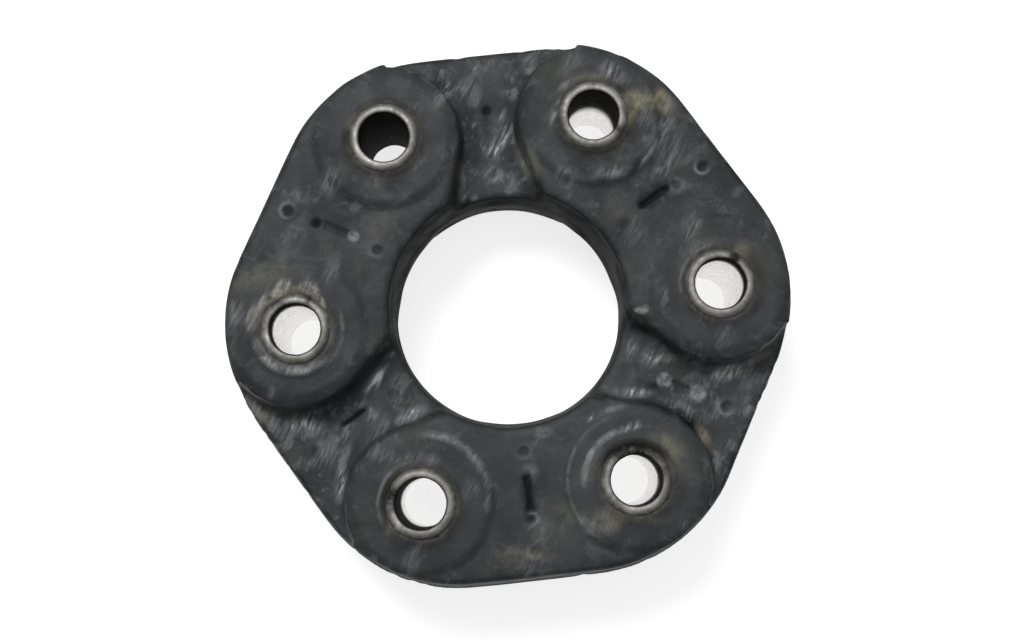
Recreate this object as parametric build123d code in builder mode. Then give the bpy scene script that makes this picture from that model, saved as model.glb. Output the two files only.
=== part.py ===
from build123d import *
from math import cos, radians, sin, tan
import os

# Flexible disc coupling: a moulded rubber hexagon with steel sleeves on one bolt circle and a wound
# cord loop round each pair of neighbouring sleeves. Millimetres. The origin is the middle of the
# disc, +Z is its front face and sleeve 1 stands on +X. The loops sit by turns at the front and at
# the rear level, so each span between two sleeves is raised on one face and recessed on the other.

# ---- driving dimensions: sleeves and collars ----
loop_pair_count = 3         # front-level and rear-level loops, one of each to a pair
bolt_circle = 105.0         # diameter of the circle through the sleeve axes
sleeve_bore = 12.4          # clears the coupling bolt
sleeve_wall = 2.5
sleeve_proud = 1.5          # the sleeve's end stands out of its pad
sleeve_edge = 1.2           # rounded outer edge of the sleeve's end
bore_edge = 0.5             # chamfer at each mouth of the bore
hub_wall = 1.1              # collar's tube, between the sleeve and the loop
flange_thickness = 1.4
flange_lip = 0.5            # the flange reaches this far past the loop
separator_thickness = 1.5   # ring between the two loop levels

# ---- driving dimensions: cord loops ----
loop_width = 4.4            # across the wound pack, along the radius of its turn
loop_height = 12.0          # along the sleeve
loop_corner = 1.2           # chamfered corners of the pack

# ---- clearances ----
press_gap = 0.02            # between steel pieces pressed together
bond_line = 0.05            # adhesive film between the rubber or cord and the steel

# ---- driving dimensions: rubber body ----
web_cover = 1.2             # rubber over the collar's flange in a raised span
pad_rise = 1.0              # the pads stand above the raised spans
pad_radius = 17.5
pad_edge = 1.4              # rounded edge of the pad
pad_margin = 0.1            # from the pad to the side wall, at the outline's corner
corner_radius = 39.5        # large arcs of the outline, at the faces
side_draft = 6.0            # degrees, narrowing from the parting line to each face
side_edge = 1.6             # rounded outer edge of each face
centre_bore = 57.4          # diameter at the parting line
centre_bore_draft = 3.0     # degrees, widening to each face
centre_bore_edge = 1.0      # rounded rims of the centre bore
flash_thickness = 0.9       # moulding flash along the parting line
flash_proud = 0.35

# ---- driving dimensions: recessed spans and mould marks ----
recess_depth = 8.5          # below the raised spans
recess_wall = 18.6          # radius of the recess's walls, round the sleeve axes
recess_draft = 8.0          # degrees
recess_foot = 2.4           # rounded foot of the walls
recess_mouth = 24.2         # width where the recess opens into the centre bore
recess_mouth_edge = 3.0     # rounded ends of the walls, at the centre bore
recess_outer_width = 49.5   # width where the recess opens through the side wall
slot_mark_length = 10.0     # slot left by the mould's core blade, over the eye of the loop
slot_mark_width = 2.2
slot_mark_depth = 1.3
vent_mark = 3.0             # diameter of the round pit past the slot's outer end
vent_mark_depth = 0.9
vent_mark_offset = 6.6      # from the middle of the slot
pin_mark = 3.6              # diameter of the dimples left by the mould's locating pins
pin_mark_depth = 0.7
inner_pin_offset = 9.9      # from the middle of the slot, toward the centre bore
outer_pin_offset = 14.4     # from the middle of the slot, toward the side wall

# ---- worked out: layout in plan ----
sleeve_count = 2 * loop_pair_count
step = 360 / sleeve_count
sleeve_reach = bolt_circle / 2
span_reach = sleeve_reach * cos(radians(step / 2))
half_pitch = sleeve_reach * sin(radians(step / 2))

# ---- worked out: radii round a sleeve axis, from the bore outwards ----
sleeve_radius = sleeve_bore / 2 + sleeve_wall
hub_inner = sleeve_radius + press_gap
hub_outer = hub_inner + hub_wall
loop_inner = hub_outer + bond_line
loop_outer = loop_inner + loop_width
flange_outer = loop_outer + flange_lip

# ---- worked out: heights, from the middle of the disc to each face ----
hub_base = separator_thickness / 2 + press_gap
loop_low = hub_base + bond_line
loop_high = loop_low + loop_height
flange_base = loop_high + bond_line
flange_top = flange_base + flange_thickness
web_face = flange_top + web_cover
pad_face = web_face + pad_rise
sleeve_end = pad_face + sleeve_proud
recess_floor = web_face - recess_depth

# ---- worked out: outline at the parting line ----
side_growth = web_face * tan(radians(side_draft))
outline_corner = corner_radius + side_growth
outline_reach = sleeve_reach + pad_radius + pad_margin + side_growth
outline_flat = (outline_reach - outline_corner) * cos(radians(step / 2)) + outline_corner
centre_bore_radius = centre_bore / 2
centre_bore_face_radius = centre_bore_radius + web_face * tan(radians(centre_bore_draft))


def sleeve_place(index, side):
    """Location on a sleeve's axis, z out of the front face for side 1 and out of the rear for -1."""
    angle = radians(step * index)
    outward = (cos(angle), sin(angle), 0)
    origin = (sleeve_reach * cos(angle), sleeve_reach * sin(angle), 0)
    return Plane(origin=origin, x_dir=outward, z_dir=(0, 0, side)).location


def span_plane(index, side):
    """Plane with x along the centre line of the span after a sleeve, z out of the side's face."""
    angle = radians(step * (index + 0.5))
    outward = (cos(angle), sin(angle), 0)
    return Plane(origin=(0, 0, 0), x_dir=outward, z_dir=(0, 0, side))


def wound_loop(growth):
    """Cord pack round two sleeves, or its seat in the rubber when it is grown by the bond line."""
    with BuildPart() as pack:
        with BuildSketch(Plane.XY.offset(loop_low - growth)):
            with Locations((span_reach, 0)):
                SlotCenterToCenter(2 * half_pitch, 2 * (loop_outer + growth), rotation=90)
                SlotCenterToCenter(
                    2 * half_pitch, 2 * (loop_inner - growth), rotation=90, mode=Mode.SUBTRACT
                )
        extrude(amount=loop_height + 2 * growth)
        chamfer(pack.faces().filter_by(Axis.Z).edges(), loop_corner)
    return pack.part


def insert_seat():
    """Cavity that a sleeve, its collars and its separator ring fill in the rubber."""
    flange_middle = (flange_base + flange_top) / 2
    with BuildPart() as seat:
        Cylinder(sleeve_radius + bond_line, 2 * sleeve_end)
        Cylinder(hub_outer + bond_line, 2 * (flange_top + bond_line))
        Cylinder(flange_outer + bond_line, separator_thickness + 2 * bond_line)
        with Locations((0, 0, flange_middle), (0, 0, -flange_middle)):
            Cylinder(flange_outer + bond_line, flange_thickness + 2 * bond_line)
    return seat.part


# ---- the forms that repeat round the disc ----
with BuildPart() as sleeve_form:
    Cylinder(sleeve_radius, 2 * sleeve_end)
    Cylinder(sleeve_bore / 2, 2 * sleeve_end, mode=Mode.SUBTRACT)
    chamfer(sleeve_form.edges().filter_by(GeomType.CIRCLE).sort_by(SortBy.RADIUS)[:2], bore_edge)
    fillet(sleeve_form.edges().filter_by(GeomType.CIRCLE).sort_by(SortBy.RADIUS)[-2:], sleeve_edge)

with BuildPart() as separator_form:
    Cylinder(flange_outer, separator_thickness)
    Cylinder(hub_inner, separator_thickness, mode=Mode.SUBTRACT)

with BuildPart() as collar_form:
    with BuildSketch(Plane.XZ):
        with Locations((hub_inner, hub_base)):
            Rectangle(hub_wall, flange_top - hub_base, align=Align.MIN)
        with Locations((hub_inner, flange_base)):
            Rectangle(flange_outer - hub_inner, flange_thickness, align=Align.MIN)
    revolve(axis=Axis.Z)

# ---- rounded pad, a column from the middle of the disc to one face ----
with BuildPart() as pad_form:
    Cylinder(pad_radius, pad_face, align=(Align.CENTER, Align.CENTER, Align.MIN))
    fillet(pad_form.edges().group_by(Axis.Z)[-1], pad_edge)

# ---- recess cutter, x along the radius and z from the raised face into the body ----
mouth_half = recess_mouth / 2 + recess_mouth_edge
mouth_reach = centre_bore_radius - recess_mouth_edge / 2

with BuildPart() as recess_cutter:
    with BuildSketch(mode=Mode.PRIVATE) as wall_foot:
        with Locations((span_reach, half_pitch)):
            Circle(recess_wall)
        with Locations((mouth_reach, mouth_half)):
            Circle(recess_mouth_edge)
        make_hull()
    with BuildSketch():
        with BuildLine():
            half_plan = Polyline(
                (bolt_circle, 0),
                (bolt_circle, recess_outer_width / 2),
                (span_reach, recess_outer_width / 2),
                (span_reach, half_pitch),
                (mouth_reach, mouth_half),
                (centre_bore_radius / 2, mouth_half),
                (centre_bore_radius / 2, 0),
            )
            mirror(half_plan, about=Plane.XZ)
        make_face()
        add(wall_foot.sketch, mode=Mode.SUBTRACT)
        mirror(wall_foot.sketch, about=Plane.XZ, mode=Mode.SUBTRACT)
    extrude(amount=recess_depth, taper=recess_draft)
    fillet(recess_cutter.edges().group_by(Axis.Z)[-1], recess_foot)

# ---- mould marks of one span: a slot over the loop's eye, a pit by it, a dimple at each end ----
with BuildPart() as mark_cutter:
    with BuildSketch():
        with Locations((span_reach, 0)):
            SlotOverall(slot_mark_length, slot_mark_width)
    extrude(amount=slot_mark_depth, both=True)
    with BuildSketch():
        with Locations((span_reach + vent_mark_offset, 0)):
            Circle(vent_mark / 2)
    extrude(amount=vent_mark_depth, both=True)
    with BuildSketch():
        with Locations((span_reach - inner_pin_offset, 0), (span_reach + outer_pin_offset, 0)):
            Circle(pin_mark / 2)
    extrude(amount=pin_mark_depth, both=True)

# ---- where they go ----
front_places = [sleeve_place(index, 1) for index in range(sleeve_count)]
rear_places = [sleeve_place(index, -1) for index in range(sleeve_count)]
loop_places = []
recess_places = []
mark_places = []
for index in range(sleeve_count):
    loop_side = 1 if index % 2 == 0 else -1
    raised = span_plane(index, loop_side)
    recessed = span_plane(index, -loop_side)
    loop_places.append(raised.location)
    recess_places.append(raised.offset(-web_face).location)
    mark_places.append(raised.offset(web_face).location)
    mark_places.append(recessed.offset(recess_floor).location)

# ---- rubber body: one drafted half, mirrored; then flash, recesses, pads, marks and seats ----
with BuildPart() as rubber_body:
    with BuildSketch() as outline:
        RegularPolygon(outline_flat, sleeve_count, major_radius=False)
        fillet(outline.vertices(), outline_corner)
    extrude(amount=web_face, taper=side_draft)
    fillet(rubber_body.edges().group_by(Axis.Z)[-1], side_edge)
    with Locations((0, 0, web_face / 2)):
        Cone(centre_bore_radius, centre_bore_face_radius, web_face, mode=Mode.SUBTRACT)
    fillet(rubber_body.edges().group_by(Axis.Z)[-1].sort_by(SortBy.LENGTH)[-1], centre_bore_edge)
    mirror(about=Plane.XY)
    with BuildSketch() as flash:
        RegularPolygon(outline_flat + flash_proud, sleeve_count, major_radius=False)
        fillet(flash.vertices(), outline_corner + flash_proud)
        Circle(centre_bore_radius - flash_proud, mode=Mode.SUBTRACT)
    extrude(amount=flash_thickness / 2, both=True)
    with Locations(recess_places):
        add(recess_cutter.part, mode=Mode.SUBTRACT)
    with Locations(front_places + rear_places):
        add(pad_form.part)
    with Locations(mark_places):
        add(mark_cutter.part, mode=Mode.SUBTRACT)
    with Locations(front_places):
        add(insert_seat(), mode=Mode.SUBTRACT)
    with Locations(loop_places):
        add(wound_loop(bond_line), mode=Mode.SUBTRACT)

# ---- write the pieces ----
os.makedirs("parts", exist_ok=True)
rubber_body.part.label = "rubber_body"
export_step(rubber_body.part, "parts/rubber_body.step")

repeated_pieces = (
    ("sleeve", sleeve_form.part, front_places),
    ("separator_ring", separator_form.part, front_places),
    ("front_collar", collar_form.part, front_places),
    ("rear_collar", collar_form.part, rear_places),
    ("cord_loop", wound_loop(0), loop_places),
)
for name, form, places in repeated_pieces:
    for number, place in enumerate(places, start=1):
        with BuildPart() as piece:
            with Locations(place):
                add(form)
        piece.part.label = f"{name}_{number}"
        export_step(piece.part, f"parts/{name}_{number}.step")
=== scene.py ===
import random
from math import cos, pi, radians, sin

import bmesh
import bpy
import numpy as np
from mathutils import Euler, Matrix, Vector, kdtree, noise


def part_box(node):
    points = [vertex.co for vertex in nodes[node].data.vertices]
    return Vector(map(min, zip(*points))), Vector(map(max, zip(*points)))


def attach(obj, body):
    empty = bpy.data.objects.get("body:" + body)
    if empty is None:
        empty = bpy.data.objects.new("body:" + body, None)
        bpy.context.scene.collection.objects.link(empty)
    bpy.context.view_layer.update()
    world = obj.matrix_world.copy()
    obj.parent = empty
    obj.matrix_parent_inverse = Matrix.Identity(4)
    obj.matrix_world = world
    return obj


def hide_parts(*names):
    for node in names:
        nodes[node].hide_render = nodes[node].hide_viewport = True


# Looks for the flexible disc coupling: a worn moulded rubber disc with six steel sleeves, lying face
# up on a white sheet. Lengths are written in millimetres and made metres with MM; only the floor's
# size and the lamps' places and sizes are written in metres. Directions are in degrees from +X.
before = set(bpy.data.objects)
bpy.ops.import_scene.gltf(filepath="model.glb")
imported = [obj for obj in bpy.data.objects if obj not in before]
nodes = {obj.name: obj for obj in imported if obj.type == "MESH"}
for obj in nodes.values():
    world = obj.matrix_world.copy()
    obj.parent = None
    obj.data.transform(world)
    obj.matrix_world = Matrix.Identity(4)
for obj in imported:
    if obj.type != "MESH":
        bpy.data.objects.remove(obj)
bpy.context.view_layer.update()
MM = 0.001
random.seed(11)

# ---- sizes shared with the part ----
SLEEVE_COUNT = 6
SLEEVE_RADIUS = 8.7
SLEEVE_BORE = 6.2
SLEEVE_END = 17.97
SPAN_REACH = 45.47
PAD_RADIUS = 17.5
PAD_FACE = 16.47
WEB_FACE = 15.47
RECESS_FLOOR = 6.97
CENTRE_BORE_REACH = 31.0    # everything nearer the disc's axis belongs to the centre bore's wall
SPAN_FLAT = 62.0            # from the disc's axis to the outer wall of a span
SLOT_HALF = 5.0             # half the length of a mould slot
VENT_OFFSET = 6.6
VENT_RADIUS = 1.5
PIN_OFFSETS = (-9.9, 14.4)
PIN_RADIUS = 1.8

# ---- mould marks of the front, span by span, as wear has left them ----
# slot: depth, half width, waist (below 0: narrow ends), place along and across the span, length share;
# then the depths of the vent, the inner dimple and the outer dimple
FRONT_MARKS = (
    ((1.30, 1.05, -0.60, 0.2, 0.9, 1.00), 0.15, 0.15, 0.60),
    ((0.25, 1.00, 0.00, 0.0, 0.0, 0.80), 0.80, 0.15, 0.00),
    ((0.45, 1.30, 0.10, 1.6, -0.4, 0.75), 0.90, 0.50, 0.60),
    ((1.00, 0.60, -0.40, 1.6, -1.2, 0.80), 0.20, 0.55, 0.35),
    ((1.60, 1.10, 0.70, 0.6, 0.0, 0.95), 0.55, 0.35, 0.40),
    ((0.40, 1.00, 0.30, 1.6, 0.0, 0.80), 0.10, 0.10, 0.60),
)
REAR_MARK = ((1.20, 1.10, 0.00, 0.0, 0.0, 1.00), 0.80, 0.60, 0.60)
# how black the grease and painted shade in the slot, vent, inner dimple and outer dimple are
FRONT_GREASE_AND_SHADE = (
    (0.85, 0.10, 0.30, 0.60),
    (0.15, 0.85, 0.20, 0.00),
    (0.40, 0.95, 0.45, 0.70),
    (1.00, 0.35, 0.60, 0.45),
    (1.00, 0.60, 0.30, 0.30),
    (0.30, 0.00, 0.15, 0.55),
)
# black stains with painted shade, and bright rubbed stretches with painted highlights, on the front ends:
# sleeve, direction, spread, strength
SLEEVE_STAINS_AND_SHADE = (
    (1, 55, 15, 0.85), (1, 100, 30, 0.25),
    (2, -100, 50, 0.30), (2, -36, 14, 0.60),
    (3, 130, 40, 0.30), (3, -25, 10, 0.40),
    (4, 118, 26, 0.60), (4, 60, 9, 0.65), (4, -40, 16, 0.45), (4, -88, 8, 0.40), (4, 160, 14, 0.40),
    (5, 158, 24, 0.85), (5, 185, 9, 0.50),
    (6, 88, 58, 0.97), (6, 20, 30, 0.50),
)
SLEEVE_SHINE_AND_HIGHLIGHTS = (
    (1, 215, 60, 0.45), (1, -20, 40, 0.35),
    (2, 60, 70, 0.45), (2, 250, 40, 0.40),
    (3, 215, 55, 1.10), (3, 100, 50, 0.55), (3, 30, 30, 0.30),
    (4, 195, 24, 0.80), (4, 20, 26, 0.60), (4, 85, 10, 0.50),
    (5, 40, 60, 0.55), (5, 212, 20, 0.85),
    (6, 192, 20, 0.75), (6, 268, 38, 0.80),
)
# pale rims of pits, rubbed and with a painted highlight on one side: span, offset along it, radius,
# direction of the palest part, spread, strength
PIT_RIM_WEAR_AND_HIGHLIGHTS = (
    (1, 14.4, 1.7, 215, 1.0, 0.95),
    (1, 6.6, 1.6, 330, 0.4, 0.45),
    (3, 14.4, 1.9, 140, 0.8, 0.75),
    (3, -9.9, 1.7, 170, 0.5, 0.45),
    (5, -4.4, 1.5, 40, 1.6, 0.75),
    (5, 6.6, 1.5, 350, 1.4, 0.75),
    (5, 14.4, 1.6, 190, 1.2, 0.60),
    (5, -9.9, 1.7, 0, 0.2, 0.30),
    (6, 14.4, 1.9, 220, 0.9, 0.70),
    (2, -9.9, 1.7, 300, 0.8, 0.45),
)

# ---- how the surfaces are made ----
BODY_VOXEL = 0.5            # cell of the body's even mesh before it is thinned
BODY_TRIANGLES = 190000
BODY_SMOOTHING = 3
FOOT_WIDTH = 5.0            # reach of the soft feet of the recess walls
FOOT_RISE = 2.4
RECESS_ROUNDS = 24          # rounds of softening of the recess walls and of the centre bore's wall
BORE_ROUNDS = 130
BORE_LEAN = 1.15            # how far the bore's wall leans in at the rear recesses
REAR_RECESSES = (0, 2, 4)   # spans that are recessed on the rear face
PLUG_DEPTH = 4.0            # plugs that fill the even mould marks before they are shaped as worn ones
PLUG_MARGIN = 0.5
NICKS = 170
SLEEVE_STEPS = 112
SLEEVE_ROUNDING = 1.5       # bevels of the sleeve's end, outside and at the bore
BORE_ROUNDING = 0.75
CORD_WIDTH = 0.9
BORE_SHADE_DEPTHS = (6, 20, 60, 6, 24, 11)   # how far painted shade reaches into each sleeve's bore from the front
# lips pressed up in the rubber round each sleeve: height and direction
PRESSED_LIPS = ((0.10, 140), (0.16, 330), (0.10, 300), (0.45, 280), (0.22, 140), (0.30, 60))
LIP_REACH = 11.0

numbers = range(1, SLEEVE_COUNT + 1)
sleeve_names = [f"sleeve_{number}" for number in numbers]
separator_names = [f"separator_ring_{number}" for number in numbers]
collar_names = [f"{side}_collar_{number}" for side in ("front", "rear") for number in numbers]
loop_names = [f"cord_loop_{number}" for number in numbers]


def middle(node):
    """Centre of a CAD node's box, in millimetres."""
    low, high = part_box(node)
    return [(a + b) / 2 / MM for a, b in zip(low, high)]


sleeve_axes = [middle(name)[:2] for name in sleeve_names]


def beside(number, right, up):
    """Place on the face, measured from a sleeve's axis in millimetres."""
    return (sleeve_axes[number - 1][0] + right, sleeve_axes[number - 1][1] + up)


def span_angle(index):
    """Direction of a span's middle; span 0 lies between sleeves 1 and 2."""
    return radians(60 * index + 30)


def on_span(number, outward, across):
    """Place on the span after a sleeve, measured from the middle of its mould slot."""
    angle = span_angle(number - 1)
    reach = SPAN_REACH + outward
    return (reach * cos(angle) - across * sin(angle), reach * sin(angle) + across * cos(angle))


def patches(measured_from, number, *entries):
    """Elliptical patches by one sleeve or span: two offsets, turn, two radii and strength each."""
    return [
        (measured_from(number, first, second), turn, (long, short), strength)
        for first, second, turn, long, short, strength in entries
    ]


# ---- mesh tools ----
def new_object(name, data, place=(0, 0, 0)):
    thing = bpy.data.objects.new(name, data)
    thing.location = place
    bpy.context.scene.collection.objects.link(thing)
    return thing


def new_piece(name, mesh):
    """Object at the origin that rides on the disc."""
    piece = new_object(name, mesh)
    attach(piece, "root")
    return piece


def finished_mesh(piece):
    """The piece's mesh with its modifiers applied and taken off."""
    depsgraph = bpy.context.evaluated_depsgraph_get()
    depsgraph.update()
    mesh = bpy.data.meshes.new_from_object(piece.evaluated_get(depsgraph))
    piece.modifiers.clear()
    old = piece.data
    piece.data = mesh
    bpy.data.meshes.remove(old)
    return mesh


def read_points(mesh):
    points = np.empty(len(mesh.vertices) * 3, np.float32)
    mesh.vertices.foreach_get("co", points)
    return points.reshape(-1, 3).astype(np.float64) / MM


def write_points(mesh, points):
    mesh.vertices.foreach_set("co", (points * MM).astype(np.float32).ravel())
    mesh.update()


def read_normals(mesh):
    normals = np.empty(len(mesh.vertices) * 3, np.float32)
    mesh.vertex_normals.foreach_get("vector", normals)
    return normals.reshape(-1, 3).astype(np.float64)


def store(mesh, name, values):
    """Keep one number per vertex, for the materials to read."""
    layer = mesh.attributes.new(name, "FLOAT", "POINT")
    layer.data.foreach_set("value", np.clip(values, 0, 1).astype(np.float32))


def smooth_step(values, low, high):
    share = np.clip((values - low) / (high - low), 0, 1)
    return share * share * (3 - 2 * share)


def bump_at(distance, width):
    """Bell of height 1 at distance 0."""
    return np.exp(-(distance / width) ** 2)


def field(points, size, seed):
    """Soft noise from -1 to 1 with features of about the given size."""
    shift = Vector((seed * 17.3, seed * 5.1, seed * 9.7))
    return np.array([noise.noise(Vector(point) / size + shift) for point in points])


def away_from(points, place):
    """Offsets along X and Y from a place on the face."""
    return points[:, 0] - place[0], points[:, 1] - place[1]


def neighbour_mean(values, ends, count):
    """Mean of each vertex's neighbours, for any number of columns."""
    total = np.zeros_like(values)
    for column in range(values.shape[1]):
        total[:, column] = np.bincount(ends[:, 0], values[ends[:, 1], column], count)
        total[:, column] += np.bincount(ends[:, 1], values[ends[:, 0], column], count)
    links = np.bincount(ends.ravel(), minlength=count)
    return total / np.maximum(links, 1)[:, None]


def read_edges(mesh):
    ends = np.empty(len(mesh.edges) * 2, np.int32)
    mesh.edges.foreach_get("vertices", ends)
    return ends.reshape(-1, 2)


def curvature(mesh, rounds):
    """How far each vertex stands out of the surface round it, in millimetres."""
    ends = read_edges(mesh)
    points = read_points(mesh)
    spread = points
    for _ in range(rounds):
        spread = neighbour_mean(spread, ends, len(points))
    return ((points - spread) * read_normals(mesh)).sum(axis=1)


# ---- dirt, wear and painted shade of the front, patch by patch: place, turn, radii, strength ----
OCHRE_DIRT = (
    *patches(beside, 1, (5.5, 7.0, 40, 4.5, 2.6, 0.70), (9.0, -18.5, 22, 8.5, 2.0, 0.25),
        (-20.0, -4.3, 355, 2.6, 1.1, 0.70)),
    *patches(beside, 2, (11.6, 2.8, 350, 6.0, 3.4, 1.30), (17.8, 2.0, 100, 4.6, 2.6, 1.40),
        (9.5, -1.5, 75, 4.0, 1.4, 0.80), (0.5, 9.8, 0, 6.0, 1.6, 0.50)),
    *patches(beside, 3, (-7.5, 5.0, 50, 4.0, 1.4, 0.40)),
    *patches(beside, 4, (-1.5, 9.0, 15, 8.0, 2.6, 0.60), (-9.0, 4.0, 60, 5.0, 2.0, 0.45),
        (-14.5, -17.0, 130, 7.0, 3.0, 0.50)),
    *patches(beside, 5, (-7.5, -5.0, 60, 4.0, 2.4, 0.35)),
    *patches(beside, 6, (9.0, 7.2, 125, 5.5, 3.2, 0.36), (18.8, 9.0, 112, 4.6, 2.2, 0.90),
        (-7.5, -8.5, 20, 7.5, 4.0, 0.50), (2.0, -9.8, 170, 7.0, 1.8, 0.20)),
    *patches(on_span, 5, (15.0, -4.0, 0, 9.0, 2.5, 0.40)),
)
OLIVE_DIRT = (
    *patches(beside, 4, (-7.0, 14.0, 10, 14.0, 5.0, 0.70)),
    *patches(beside, 6, (8.5, 5.5, 125, 10.0, 6.5, 0.80), (-12.0, 3.0, 70, 6.0, 4.0, 0.35)),
    *patches(on_span, 1, (-9.0, 3.0, 30, 7.0, 4.0, 0.40)),
    *patches(on_span, 2, (-8.5, -8.9, 110, 8.5, 3.0, 1.10), (-10.5, 8.6, 82, 6.5, 1.3, 0.95)),
    *patches(on_span, 3, (-8.0, -6.0, 60, 7.0, 4.0, 0.55)),
    *patches(on_span, 5, (8.0, 8.0, 80, 8.0, 4.0, 0.55)),
)
# soft black: dirt, and painted shade where shadow falls at the feet of pads and walls
SHADE_AND_DIRT_PATCHES = (
    *patches(beside, 1, (-8.0, -14.5, 330, 10.0, 2.5, 0.20)),
    *patches(beside, 2, (9.0, -14.0, 45, 7.0, 2.0, 0.50), (6.5, -6.5, 320, 3.0, 5.0, 0.35)),
    *patches(beside, 4, (-5.5, 8.5, 30, 2.2, 1.2, 0.80), (0.8, 10.8, 80, 2.2, 1.3, 0.70)),
    *patches(beside, 5, (-9.5, 2.0, 80, 5.0, 2.5, 0.30)),
    *patches(beside, 6, (15.3, 12.7, 309, 7.0, 3.0, 0.90), (7.8, 17.2, 334, 8.0, 2.2, 0.60),
        (-6.0, 6.0, 45, 5.0, 3.0, 0.30)),
    *patches(on_span, 1, (-3.0, 1.5, 345, 4.5, 2.2, 0.45)),
    *patches(on_span, 2, (3.5, 0.5, 90, 4.0, 2.2, 0.50), (16.0, 6.0, 20, 8.0, 3.0, 0.35)),
    *patches(on_span, 3, (2.0, -3.0, 150, 7.0, 2.0, 0.30)),
    *patches(on_span, 4, (-6.0, 4.0, 62, 6.0, 2.5, 0.25), (3.0, 4.0, 55, 6.0, 2.0, 0.20)),
    *patches(on_span, 5, (-2.0, 3.5, 90, 6.0, 2.0, 0.35)),
    *patches(on_span, 6, (-3.0, -1.5, 355, 9.0, 4.0, 0.65), (9.0, 1.5, 350, 7.0, 3.0, 0.40),
        (-14.0, 9.0, 330, 5.0, 2.0, 0.80)),
    ((51.5, -44.5), 50, (10.0, 3.0), 0.60),
)
# pale rubber rubbed up in short strokes
SCUFFS = (
    *patches(beside, 1, (6.0, -19.5, 20, 9.0, 1.6, 0.60), (-7.5, -17.5, 330, 7.0, 1.5, 0.50),
        (-14.0, -1.0, 80, 5.0, 1.2, 0.50), (-1.0, -13.0, 60, 5.0, 2.0, 0.40),
        (-20.0, -4.3, 355, 2.8, 1.2, 1.00)),
    *patches(beside, 2, (-9.4, 2.2, 68, 5.0, 1.2, 1.00), (2.0, -14.5, 350, 6.0, 2.2, 0.60),
        (5.9, 10.8, 320, 6.0, 3.4, 0.65), (13.2, -2.4, 60, 3.6, 2.6, 0.75),
        (17.7, -3.9, 62, 5.0, 2.2, 0.95), (12.6, -10.9, 52, 6.5, 1.4, 0.60),
        (18.5, -9.0, 50, 7.0, 1.6, 0.50), (-5.0, 13.0, 30, 6.0, 2.4, 0.40),
        (-6.0, 8.5, 30, 4.0, 1.6, 0.45)),
    *patches(beside, 3, (8.5, -6.5, 50, 5.0, 1.6, 0.50), (-14.0, -9.0, 60, 6.0, 3.5, 0.40)),
    *patches(beside, 4, (-13.5, -17.5, 130, 6.5, 2.2, 0.85), (-9.0, -21.5, 120, 6.0, 3.0, 0.60),
        (-4.0, 10.8, 55, 5.0, 2.4, 0.55), (4.8, 10.6, 110, 3.8, 2.2, 0.45),
        (-10.0, 4.0, 65, 5.0, 2.4, 0.60), (-14.0, 5.5, 70, 5.0, 3.0, 0.55),
        (8.5, -1.5, 85, 5.0, 1.6, 0.35), (-7.0, -14.0, 60, 4.0, 1.8, 0.35)),
    *patches(beside, 5, (3.5, 10.0, 50, 3.0, 2.0, 0.35), (12.0, 2.0, 62, 4.5, 2.5, 0.40),
        (-3.0, -13.0, 60, 6.0, 3.0, 0.30)),
    *patches(beside, 6, (0.5, 12.8, 8, 4.6, 1.2, 0.95), (-8.6, 16.3, 30, 2.6, 1.0, 0.80),
        (-3.5, 17.8, 5, 5.0, 1.2, 0.45), (19.0, -3.0, 95, 4.0, 0.9, 0.80),
        (10.5, -11.5, 75, 3.0, 1.0, 0.50)),
    *patches(on_span, 1, (3.0, -10.5, 62, 6.0, 3.0, 0.55), (8.0, 6.0, 45, 7.0, 3.0, 0.60),
        (-9.0, -3.0, 62, 6.0, 3.0, 0.40)),
    *patches(on_span, 2, (-4.0, -0.8, 62, 4.2, 2.2, 1.00), (-1.0, -4.0, 62, 5.0, 1.8, 0.85),
        (-9.9, 0.0, 62, 3.6, 3.2, 0.65), (-9.0, -8.8, 111, 6.0, 1.6, 1.00),
        (-12.0, 8.0, 84, 5.0, 0.9, 0.70), (10.7, 2.8, 62, 4.2, 1.8, 0.80),
        (19.0, -13.0, 36, 5.2, 1.5, 1.00), (9.4, 11.1, 55, 5.0, 3.0, 0.50),
        (4.7, -3.9, 62, 3.0, 1.1, 0.70), (14.0, 4.0, 55, 8.0, 4.0, 0.35)),
    *patches(on_span, 3, (10.0, 5.0, 62, 6.0, 3.0, 0.40), (-2.0, 9.0, 62, 5.0, 3.0, 0.35)),
    *patches(on_span, 4, (-8.2, -5.5, 46, 6.4, 2.2, 1.00), (-12.0, -0.5, 58, 5.0, 3.0, 0.60),
        (13.0, -7.0, 354, 7.2, 3.6, 1.00), (-10.2, 6.8, 20, 5.8, 2.5, 1.00),
        (13.2, 9.7, 80, 7.4, 2.3, 0.95), (9.1, 5.3, 62, 4.6, 1.6, 0.85), (-3.1, 0.8, 62, 2.7, 2.1, 1.00),
        (5.2, 0.7, 62, 3.4, 1.5, 1.00), (12.0, 1.5, 62, 6.0, 4.5, 0.50), (-2.0, 5.0, 45, 6.0, 2.6, 0.40)),
    *patches(on_span, 5, (10.0, 2.5, 60, 6.0, 2.5, 0.40), (1.0, -10.0, 75, 4.5, 1.0, 0.60)),
    *patches(on_span, 6, (11.3, 8.0, 9, 6.8, 3.0, 1.10), (-9.3, -6.6, 354, 7.2, 2.0, 1.00),
        (-7.5, 3.8, 350, 6.8, 2.4, 0.75), (-13.0, 4.0, 80, 4.0, 2.4, 0.55),
        (3.0, -4.0, 340, 5.0, 1.4, 0.45), (9.0, -5.0, 330, 4.0, 2.0, 0.40)),
)
# pale matter pressed on in clumps, most of it round sleeve 4
CLUMPS = (
    *patches(beside, 4, (-2.6, 10.6, 40, 4.4, 2.0, 1.00), (4.4, 10.0, 350, 3.2, 2.2, 1.00),
        (6.4, 6.6, 115, 3.6, 1.5, 1.00), (-7.0, 7.8, 50, 3.6, 1.6, 0.75), (-10.6, 4.2, 70, 4.0, 1.6, 0.55)),
    *patches(on_span, 6, (11.3, 8.0, 9, 6.0, 2.2, 0.55)),
)
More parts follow.
